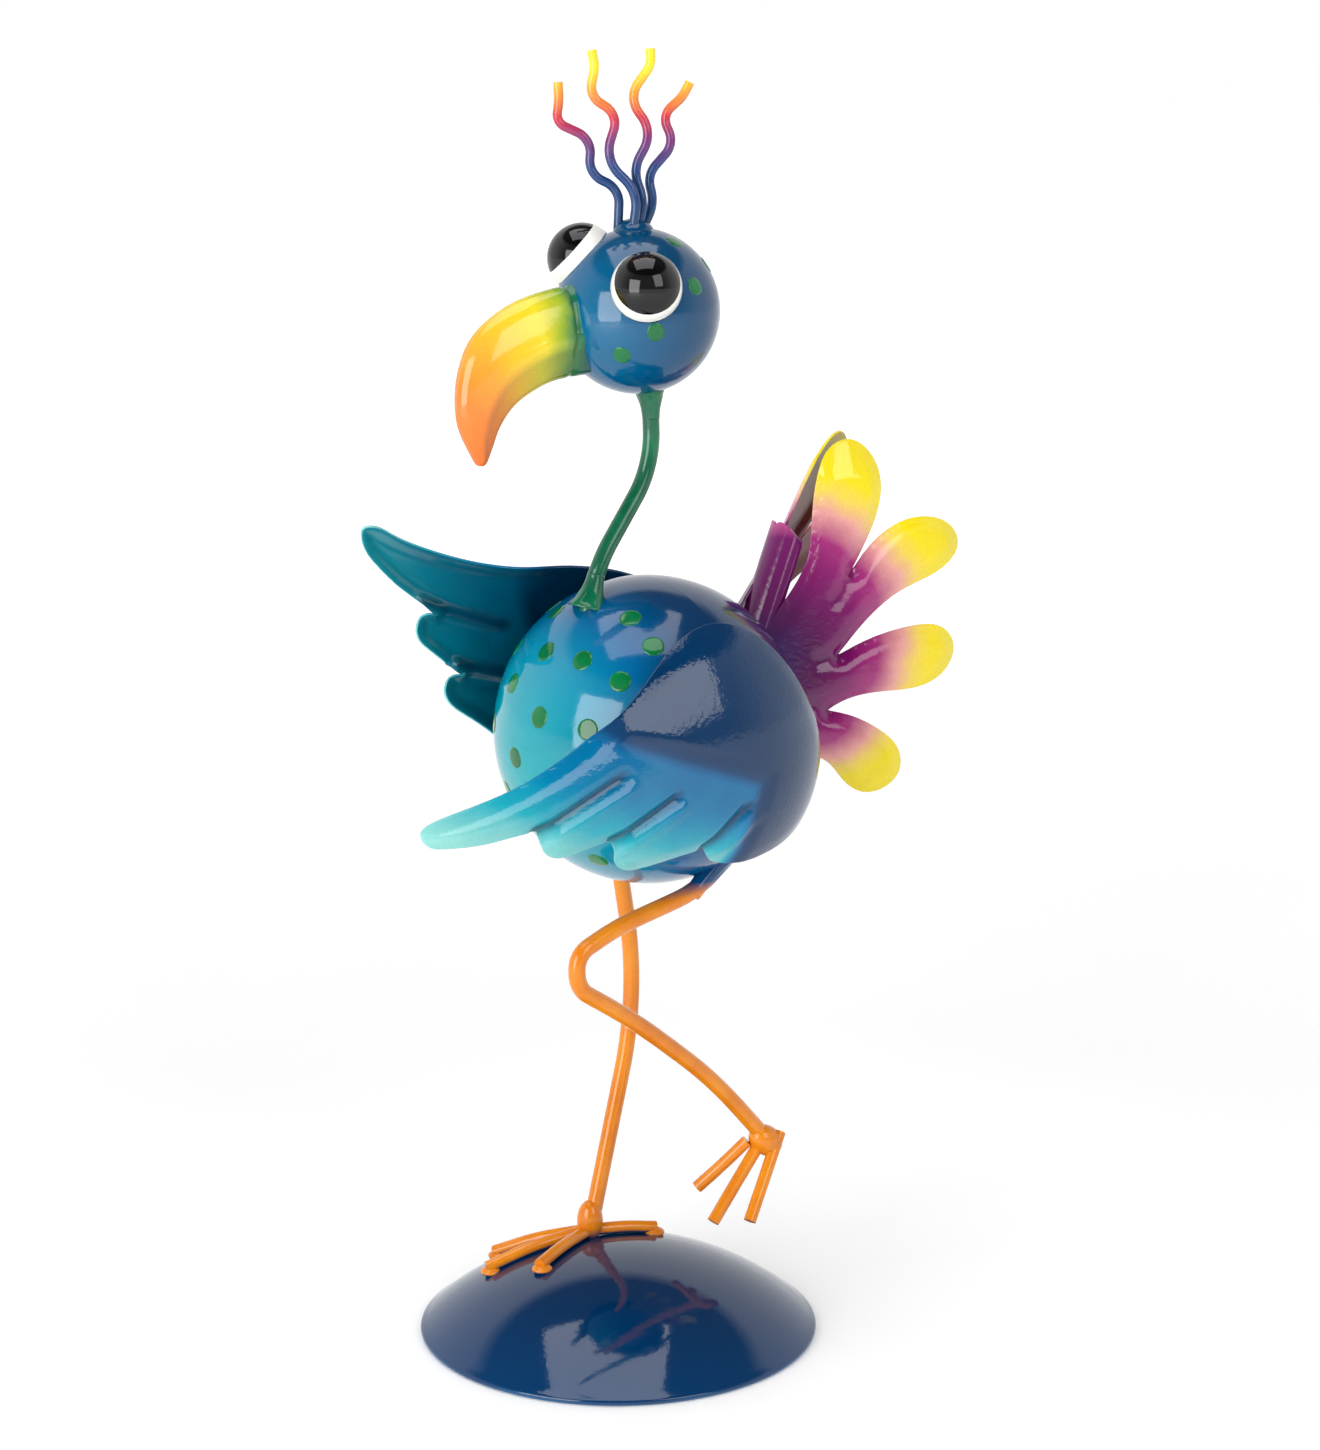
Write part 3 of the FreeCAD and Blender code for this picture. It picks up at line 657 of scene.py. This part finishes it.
def build_wing(node, name, side, pitch, yaw, drop, paint, shaded_side):
    pitch = math.radians(pitch)
    yaw = math.radians(yaw)
    level = math.cos(pitch)
    rise = math.sin(pitch)
    ahead = Vector((-side * level * math.sin(yaw), -level * math.cos(yaw), rise))
    upward = Vector((side * rise * math.sin(yaw), rise * math.cos(yaw), level))
    outward = Vector((side * math.cos(yaw), -math.sin(yaw), 0))
    shoulder = BODY + outward * WING_STANDOFF + Vector((0, 0, drop))
    place = place_of(ahead, upward, outward, shoulder)
    fields = {"tone": wing_tone, "crease": wing_painted_shade}
    return sheet_piece(name, node, place, outward, WING_SPACING, WING_SHEET, wing_relief, unspread, fields,
                       paint, shaded_side)


build_wing("left_wing", "left_wing_sheet", 1, -13, -6, 0, WING_PAINT, WING_SHADED_SIDE)
build_wing("right_wing", "right_wing_sheet", -1, 32, -20, -6, WING_PAINT, WING_SHADED_SIDE)


# ---------------------------------------------------------------- tail

TAIL_ARCH = 140.0
TAIL_CREST = 30.0
TAIL_STRETCH = 0.0021
TAIL_SHEET = 1.0
TAIL_SPACING = 1.4
TAIL_GROOVE = 2.6
# Width of the painted shade along each groove.
TAIL_SHADE_WIDTH = 1.3
TAIL_GROOVES = (
    (Vector((35.3, 31.7)), Vector((26, 19))),
    (Vector((29.6, 3.8)), Vector((19, 1.5))),
    (Vector((25.4, -14.7)), Vector((16, -12))),
)
# Petal tips as (bearing above the leaf's axis in degrees, reach from the root).
TAIL_TIPS = ((-60.0, 52.0), (-41.0, 63.0), (1.0, 73.0), (30.0, 85.0), (64.0, 84.0), (80.0, 80.0))


def tail_tone(point, gap):
    """0 at the leaf's root, 1 at the tip of whichever petal the point is on."""
    bearing = math.degrees(math.atan2(point.y, point.x))
    reach = TAIL_TIPS[0][1]
    for (low, near), (high, far) in zip(TAIL_TIPS, TAIL_TIPS[1:]):
        if bearing > low:
            reach = near + (far - near) * min((bearing - low) / (high - low), 1.0)
    return min(point.length / reach, 1.0)


# Painted shade along the grooves, for the tail paint.
def tail_painted_shade(point, gap):
    return 0.4 * groove_field(point, TAIL_GROOVES, TAIL_SHADE_WIDTH)[0]


def tail_relief(point, gap):
    deep, ridge = groove_field(point, TAIL_GROOVES, TAIL_GROOVE)
    roll = 1 - smooth(gap, 0, 7)
    arch = math.sqrt(TAIL_ARCH ** 2 - (point.x - TAIL_CREST) ** 2) - TAIL_ARCH
    return arch - 0.6 * deep + 0.1 * ridge - 2.4 * roll * roll


def tail_spread(point):
    """The petals reach a little past the plain CAD leaf's, by more toward their tips."""
    return point + Vector((TAIL_STRETCH * max(point.x - TAIL_CREST, 0) ** 2, 0))


def build_leaf(node, name, side, root, splay, lean):
    back = Vector((side * splay, 1, 0)).normalized()
    normal = Vector((side, -side * back.x / back.y, lean))
    upward = (normal.cross(back) * side).normalized()
    normal = (back.cross(upward) * side).normalized()
    place = place_of(back, upward, normal, Vector(root))
    fields = {"tone": tail_tone, "crease": tail_painted_shade}
    return sheet_piece(name, node, place, normal, TAIL_SPACING, TAIL_SHEET, tail_relief, tail_spread, fields,
                       TAIL_PAINT, TAIL_SHADED_SIDE)


build_leaf("tail_left_leaf", "tail_left_petals", 1, (2, 60, 215), 0.356, 0.111)
build_leaf("tail_right_leaf", "tail_right_petals", -1, (-18.8, 54.1, 223.3), 0.383, 0.444)


# ---------------------------------------------------------------- beak

BEAK_TURN = math.radians(8)
BEAK_AHEAD = Vector((-math.sin(BEAK_TURN), -math.cos(BEAK_TURN), 0))
BEAK_SIDE = Vector((math.cos(BEAK_TURN), -math.sin(BEAK_TURN), 0))
# Crest and underside as (ahead, up) from the head's middle, then half the width.
BEAK_RINGS = (
    ((18, 9), (18, -18), 6.6), ((33, 7), (31, -19.5), 6.8), ((46.8, 2.6), (40, -23), 6.6),
    ((58.4, -6), (46.4, -27.3), 6.0), ((63.6, -18), (51, -33.2), 5.0), ((63.8, -31.4), (53.4, -39), 3.4),
    ((58.8, -42.4), (55.4, -43.6), 1.6), ((57.2, -44.4), (56.6, -44.5), 0.3),
)
BEAK_STEPS = 20
# Where the pinched seam beside the head lies, in rings from the root.
BEAK_SEAM = 0.62
BEAK_CORNERS = 48
BEAK_SHEET = 0.8
# The hollow under the side ridge starts this far below the middle, as a share of half the height.
BEAK_HOLLOW = 0.12


def between(values, position):
    """Smooth curve through evenly spaced values."""
    index = min(int(position), len(values) - 2)
    share = position - index
    before = values[max(index - 1, 0)]
    first = values[index]
    second = values[index + 1]
    after = values[min(index + 2, len(values) - 1)]
    return 0.5 * (2 * first + (second - before) * share
                  + (2 * before - 5 * first + 4 * second - after) * share ** 2
                  + (3 * first - before - 3 * second + after) * share ** 3)


def build_beak():
    """Two pressed halves of a hooked horn, each with a side ridge and a pinch beside the head."""
    crests = [Vector(ring[0]) for ring in BEAK_RINGS]
    unders = [Vector(ring[1]) for ring in BEAK_RINGS]
    halves = [ring[2] for ring in BEAK_RINGS]
    steps = BEAK_STEPS * (len(BEAK_RINGS) - 1)
    row = BEAK_CORNERS // 2 + 1
    for label, side in (("left", 1), ("right", -1)):
        vertices = []
        tones = []
        beak_shade = []
        faces = []
        for step in range(steps + 1):
            position = step / BEAK_STEPS
            crest = between(crests, position)
            under = between(unders, position)
            half = between(halves, position)
            for corner in range(row):
                angle = math.pi * corner / (row - 1)
                up = math.cos(angle)
                wide = math.sin(angle)
                ridge = 0.1 * math.exp(-(((corner / (row - 1) - 0.56) / 0.05) ** 2))
                if up < -BEAK_HOLLOW:
                    wide *= 1 - 0.16 * math.sin(math.pi * min((-BEAK_HOLLOW - up) / (1 - BEAK_HOLLOW), 1.0))
                seam = math.exp(-(((position - BEAK_SEAM) / 0.05) ** 2))
                flat = (crest + under) / 2 + (crest - under) / 2 * up * (1 - 0.05 * seam)
                reach = half * (wide + ridge) * (1 - 0.1 * seam)
                middle = HEAD + BEAK_AHEAD * flat.x + Vector((0, 0, flat.y))
                vertices.append(middle + BEAK_SIDE * (side * reach))
                tones.append(step / steps)
                # Painted shade: below the side ridge, and around the pinch.
                beak_shade.append(max(smooth(-up, 0.18, 0.4), seam))
        for step in range(steps):
            for corner in range(row - 1):
                first = step * row + corner
                quad = [first, first + 1, first + row + 1, first + row]
                faces.append(quad if side > 0 else quad[::-1])
        piece = make_piece("beak_%s_shell" % label, vertices, faces, BEAK_PAINT,
                           {"tone": tones, "crease": beak_shade})
        thick = piece.modifiers.new("sheet", "SOLIDIFY")
        thick.thickness = BEAK_SHEET * MM
        thick.offset = -1.0
        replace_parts(piece, "beak_%s_half" % label)


build_beak()


# ---------------------------------------------------------------- painted dots

DOT_CORNERS = 28
DOT_LIFT = 0.22
# Rings of each dot, as (share of its radius, lift above the ball).
DOT_RINGS = ((0.5, DOT_LIFT), (0.82, 0.19), (0.95, 0.13), (1.0, -0.05))


def dot_piece(name, centre, radius, spots, reach):
    """Flat drops of paint, each a shallow cap laid on the ball."""
    vertices = []
    faces = []
    for azimuth, height in spots:
        azimuth = math.radians(azimuth)
        height = math.radians(height)
        level = math.cos(height)
        out = Vector((math.cos(azimuth) * level, math.sin(azimuth) * level, math.sin(height)))
        side = out.orthogonal().normalized()
        other = out.cross(side)
        base = len(vertices)
        vertices.append(centre + out * (radius + DOT_LIFT))
        for ring, (share, lift) in enumerate(DOT_RINGS):
            for corner in range(DOT_CORNERS):
                turn = 2 * math.pi * corner / DOT_CORNERS
                spot = Vector((azimuth * 3 + math.cos(turn), height * 3, math.sin(turn)))
                wobble = 1 + 0.05 * noise.noise(spot)
                spread = reach * share * wobble
                flat = out * radius + (side * math.cos(turn) + other * math.sin(turn)) * spread
                vertices.append(centre + flat.normalized() * (radius + lift))
                at = base + 1 + ring * DOT_CORNERS + corner
                beside = base + 1 + ring * DOT_CORNERS + (corner + 1) % DOT_CORNERS
                if ring == 0:
                    faces.append([base, at, beside])
                else:
                    faces.append([at - DOT_CORNERS, at, beside, beside - DOT_CORNERS])
    return make_piece(name, vertices, faces, DOT_PAINT)


# Each dot as (bearing, height) in degrees on its ball; the bird looks along -90.
BODY_DOTS = (
    (-107, 22), (-93, 37), (-70, 36), (-84, 13), (-97, -4), (-62, 11), (-51, 29), (-37, 43), (-51, 56),
    (-115, 53), (-67, -46), (-128, 33), (-122, 4), (-143, 14), (-138, 52), (-150, 36), (-165, 22), (-162, 60),
    (-112, -20), (-176, 44), (-134, -18), (-158, -2),
)
HEAD_DOTS = (
    (-52, -27), (7, 20), (-27, -10), (17, 58), (48, 34), (78, 12), (96, 48), (128, 20), (160, 44), (172, 4),
    (-165, 26), (-150, -12),
)
BODY_DOT_REACH = 3.5
HEAD_DOT_REACH = 2.9
dot_piece("body_dots", BODY, BODY_RADIUS, BODY_DOTS, BODY_DOT_REACH)
dot_piece("head_dots", HEAD, HEAD_RADIUS, HEAD_DOTS, HEAD_DOT_REACH)


# ---------------------------------------------------------------- base

BASE_LIP = 1.5
BASE_SHEET = 1.2
BASE_EDGE = 1.0
BASE_ROLL = 1.1
BASE_INSET = 2.6
BASE_STEPS = 40
BASE_CORNERS = 160


def build_base():
    """Spun bell: domed top, edge rolled under, hollow below."""
    rise = BASE_HEIGHT - BASE_LIP
    ball = (BASE_RADIUS ** 2 + rise ** 2) / (2 * rise)
    centre = BASE_HEIGHT - ball
    profile = []
    for step in range(BASE_STEPS + 1):
        reach = (BASE_RADIUS - BASE_EDGE) * step / BASE_STEPS
        profile.append((reach, centre + math.sqrt(ball ** 2 - reach ** 2)))
    for step in range(1, 9):
        turn = math.radians(65 - 20 * step)
        reach = BASE_RADIUS - BASE_ROLL + BASE_ROLL * math.cos(turn)
        profile.append((reach, BASE_SHEET + BASE_ROLL * math.sin(turn)))
    inner = ball - BASE_SHEET
    for step in range(BASE_STEPS, -1, -1):
        reach = (BASE_RADIUS - BASE_INSET) * step / BASE_STEPS
        profile.append((reach, centre + math.sqrt(inner ** 2 - reach ** 2)))
    vertices = [(0, 0, profile[0][1])]
    rings = profile[1:-1]
    for reach, height in rings:
        for corner in range(BASE_CORNERS):
            turn = 2 * math.pi * corner / BASE_CORNERS
            vertices.append((reach * math.cos(turn), reach * math.sin(turn), max(height, 0.0)))
    vertices.append((0, 0, profile[-1][1]))
    faces = []
    last = 1 + (len(rings) - 1) * BASE_CORNERS
    for corner in range(BASE_CORNERS):
        beside = (corner + 1) % BASE_CORNERS
        faces.append([0, 1 + corner, 1 + beside])
        for ring in range(len(rings) - 1):
            at = 1 + ring * BASE_CORNERS
            below = at + BASE_CORNERS
            faces.append([at + corner, below + corner, below + beside, at + beside])
        faces.append([last + beside, last + corner, len(vertices) - 1])
    piece = make_piece("base_bell", vertices, faces, BASE_PAINT)
    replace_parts(piece, "base_dome")


build_base()


# ---------------------------------------------------------------- welds that flare from a rod to a ball

# Each as name, node it stands for, middle on the ball, middle on the rod, width on the ball, paint and slot.
FLARES = (
    ("neck_body_flare", "neck_body_weld", (0, -11.6, 244.2), (0, -8.1, 255), 6.4, NECK_PAINT, "neck_paint"),
    ("neck_head_flare", "neck_head_weld", (0, 13.9, 312), (0, 14.4, 302.5), 5.2, NECK_PAINT, "neck_paint"),
    ("left_hip_flare", "left_hip_weld", (24, 28, 166.5), (24, 11.5, 151.9), 5.6, LEG_PAINT, "hip_paint"),
    ("right_hip_flare", "right_hip_weld", (-22.4, 16.6, 160.2), (-22.2, 18.4, 149), 5.6, LEG_PAINT,
     "hip_paint"),
)
FLARE_CORNERS = 36
FLARE_STEPS = 18
ROD_SLEEVE = 2.8


def build_flare(name, node, foot, end, width, paint, slot):
    """Run of weld metal: wide on the ball, thinning onto the rod, a little uneven."""
    foot = Vector(foot)
    run = Vector(end) - foot
    side = run.orthogonal().normalized()
    other = run.cross(side).normalized()
    vertices = []
    faces = []
    for step in range(FLARE_STEPS + 1):
        share = step / FLARE_STEPS
        for corner in range(FLARE_CORNERS):
            turn = 2 * math.pi * corner / FLARE_CORNERS
            uneven = noise.noise(Vector((math.cos(turn) * 1.6, math.sin(turn) * 1.6, share * 3 + foot.z)))
            reach = ROD_SLEEVE + (width - ROD_SLEEVE) * (1 - share) ** 2.1 * (1 + 0.22 * uneven)
            reach += 0.1 * (1 - share ** 6)
            vertices.append(foot + run * share + (side * math.cos(turn) + other * math.sin(turn)) * reach)
    for step in range(FLARE_STEPS):
        for corner in range(FLARE_CORNERS):
            beside = (corner + 1) % FLARE_CORNERS
            low = step * FLARE_CORNERS
            high = low + FLARE_CORNERS
            faces.append([low + corner, low + beside, high + beside, high + corner])
    for start, flip in ((0, True), (FLARE_STEPS * FLARE_CORNERS, False)):
        ring = list(range(start, start + FLARE_CORNERS))
        faces.append(ring[::-1] if flip else ring)
    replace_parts(make_piece(name, vertices, faces, paint), node)


for flare in FLARES:
    build_flare(*flare)


# ---------------------------------------------------------------- finish on the carried-over nodes

# Paint by the start of a node's name; where two starts fit, the later one holds.
FINISHES = {
    "body_": BODY_PAINT, "head_": HEAD_PAINT, "neck_": NECK_PAINT, "stand_": LEG_PAINT, "raised_": LEG_PAINT,
    "left_hip": LEG_PAINT, "right_hip": LEG_PAINT, "left_eye": EYE_PAINT, "right_eye": EYE_PAINT,
    "hair_wire": HAIR_PAINT, "hair_root": HEAD_PAINT,
    "left_wing_weld": BODY_PAINT, "right_wing_weld": BODY_PAINT,
    "tail_covert": COVERT_PAINT, "tail_covert_weld": BODY_PAINT, "tail_left_weld": BODY_PAINT,
    "tail_right_weld": BODY_PAINT,
}
for name, node in NODES.items():
    for start, material in FINISHES.items():
        if name.startswith(start):
            wear(node, material)


# ---------------------------------------------------------------- studio

def floor_paper():
    """Pale paper in two very close greys."""
    paint = Paint("floor_paper", roughness=0.6, peel=0.02, coat=0.0)
    return paint.colour(paint.ramp(paint.noise(4), (0.3, (244, 244, 244)), (0.7, (241, 241, 241))))


def floor_glow(tree):
    """Little of the floor's own glow beside the figurine, more toward the horizon."""
    place = tree.nodes.new("ShaderNodeTexCoord")
    length = tree.nodes.new("ShaderNodeVectorMath")
    length.operation = "LENGTH"
    tree.links.new(place.outputs["Object"], length.inputs[0])
    glow = tree.nodes.new("ShaderNodeMapRange")
    for key, number in (("From Min", 0.35), ("From Max", 2.2), ("To Min", 0.16), ("To Max", 0.75)):
        glow.inputs[key].default_value = number
    tree.links.new(length.outputs["Value"], glow.inputs["Value"])
    return glow.outputs["Result"]


FLOOR_SIZE = 40


def build_floor():
    bpy.ops.mesh.primitive_grid_add(x_subdivisions=8, y_subdivisions=8, size=FLOOR_SIZE)
    floor = bpy.context.object
    floor.name = "floor"
    paper = floor_paper()
    shader = next(node for node in paper.node_tree.nodes if node.type == "BSDF_PRINCIPLED")
    shader.inputs["Emission Color"].default_value = (1, 1, 1, 1)
    paper.node_tree.links.new(floor_glow(paper.node_tree), shader.inputs["Emission Strength"])
    floor.data.materials.append(paper)


# The room is darker on the side that the main view looks from; the direction is fixed in the room.
VIEWING_SIDE = (0.766, -0.643, 0)


def build_world():
    """White room, darker overhead and on the viewing side."""
    world = bpy.data.worlds.new("studio")
    bpy.context.scene.world = world
    world.use_nodes = True
    tree = world.node_tree
    tree.nodes.clear()
    place = tree.nodes.new("ShaderNodeTexCoord")
    split = tree.nodes.new("ShaderNodeSeparateXYZ")
    ramp = tree.nodes.new("ShaderNodeValToRGB")
    facing = tree.nodes.new("ShaderNodeVectorMath")
    facing.operation = "DOT_PRODUCT"
    facing.inputs[1].default_value = VIEWING_SIDE
    side = tree.nodes.new("ShaderNodeMapRange")
    for key, number in (("From Min", -0.1), ("From Max", 0.55), ("To Min", 1.0), ("To Max", 0.3)):
        side.inputs[key].default_value = number
    glow = tree.nodes.new("ShaderNodeBackground")
    out = tree.nodes.new("ShaderNodeOutputWorld")
    tree.links.new(place.outputs["Generated"], split.inputs[0])
    tree.links.new(split.outputs["Z"], ramp.inputs["Fac"])
    tree.links.new(place.outputs["Generated"], facing.inputs[0])
    tree.links.new(facing.outputs["Value"], side.inputs["Value"])
    tree.links.new(side.outputs["Result"], glow.inputs["Strength"])
    tree.links.new(ramp.outputs["Color"], glow.inputs["Color"])
    tree.links.new(glow.outputs["Background"], out.inputs["Surface"])
    shades = ((0.64, (1, 1, 1, 1)), (0.72, (0.12, 0.12, 0.13, 1)))
    for element, (height, colour) in zip(ramp.color_ramp.elements, shades):
        element.position = height
        element.color = colour


CAMERA_AT = Vector((760.304, -619.835, 415.353))
CAMERA_RIGHT = Vector((0.64279, 0.76604, 0))
CAMERA_UP = Vector((-0.16058, 0.13474, 0.97778))
CAMERA_BACK = Vector((0.74903, -0.62851, 0.20962))
TARGET = Vector((0, 13, 200))
LENS_LENGTH = 77.586
SENSOR_WIDTH = 36


def softbox(name, direction, distance, width, height, radiance):
    """Soft rectangular light facing the figurine; distance and size in metres."""
    lamp = bpy.data.lights.new(name, "AREA")
    lamp.shape = "RECTANGLE"
    lamp.size = width
    lamp.size_y = height
    lamp.energy = radiance * math.pi * width * height
    box = bpy.data.objects.new(name, lamp)
    bpy.context.scene.collection.objects.link(box)
    direction = direction.normalized()
    box.location = TARGET * MM + direction * distance
    box.rotation_mode = "QUATERNION"
    box.rotation_quaternion = direction.to_track_quat("Z", "Y")


build_floor()
build_world()
softbox("overhead_box", Vector((0, 0, 1)) - 0.08 * CAMERA_RIGHT, 1.9, 1.5, 1.5, 2.6)
softbox("front_left_box", 0.79 * CAMERA_BACK - 0.61 * CAMERA_RIGHT + 0.06 * CAMERA_UP, 1.5, 0.9, 1.0, 5.6)
softbox("front_right_box", 0.79 * CAMERA_BACK + 0.61 * CAMERA_RIGHT + 0.36 * CAMERA_UP, 1.5, 0.7, 0.9, 3.2)

lens = bpy.data.cameras.new("camera")
lens.lens = LENS_LENGTH
lens.sensor_width = SENSOR_WIDTH
camera = bpy.data.objects.new("camera", lens)
bpy.context.scene.collection.objects.link(camera)
camera.matrix_world = place_of(CAMERA_RIGHT, CAMERA_UP, CAMERA_BACK, CAMERA_AT * MM)
bpy.context.scene.camera = camera
bpy.context.scene.view_settings.view_transform = "Standard"
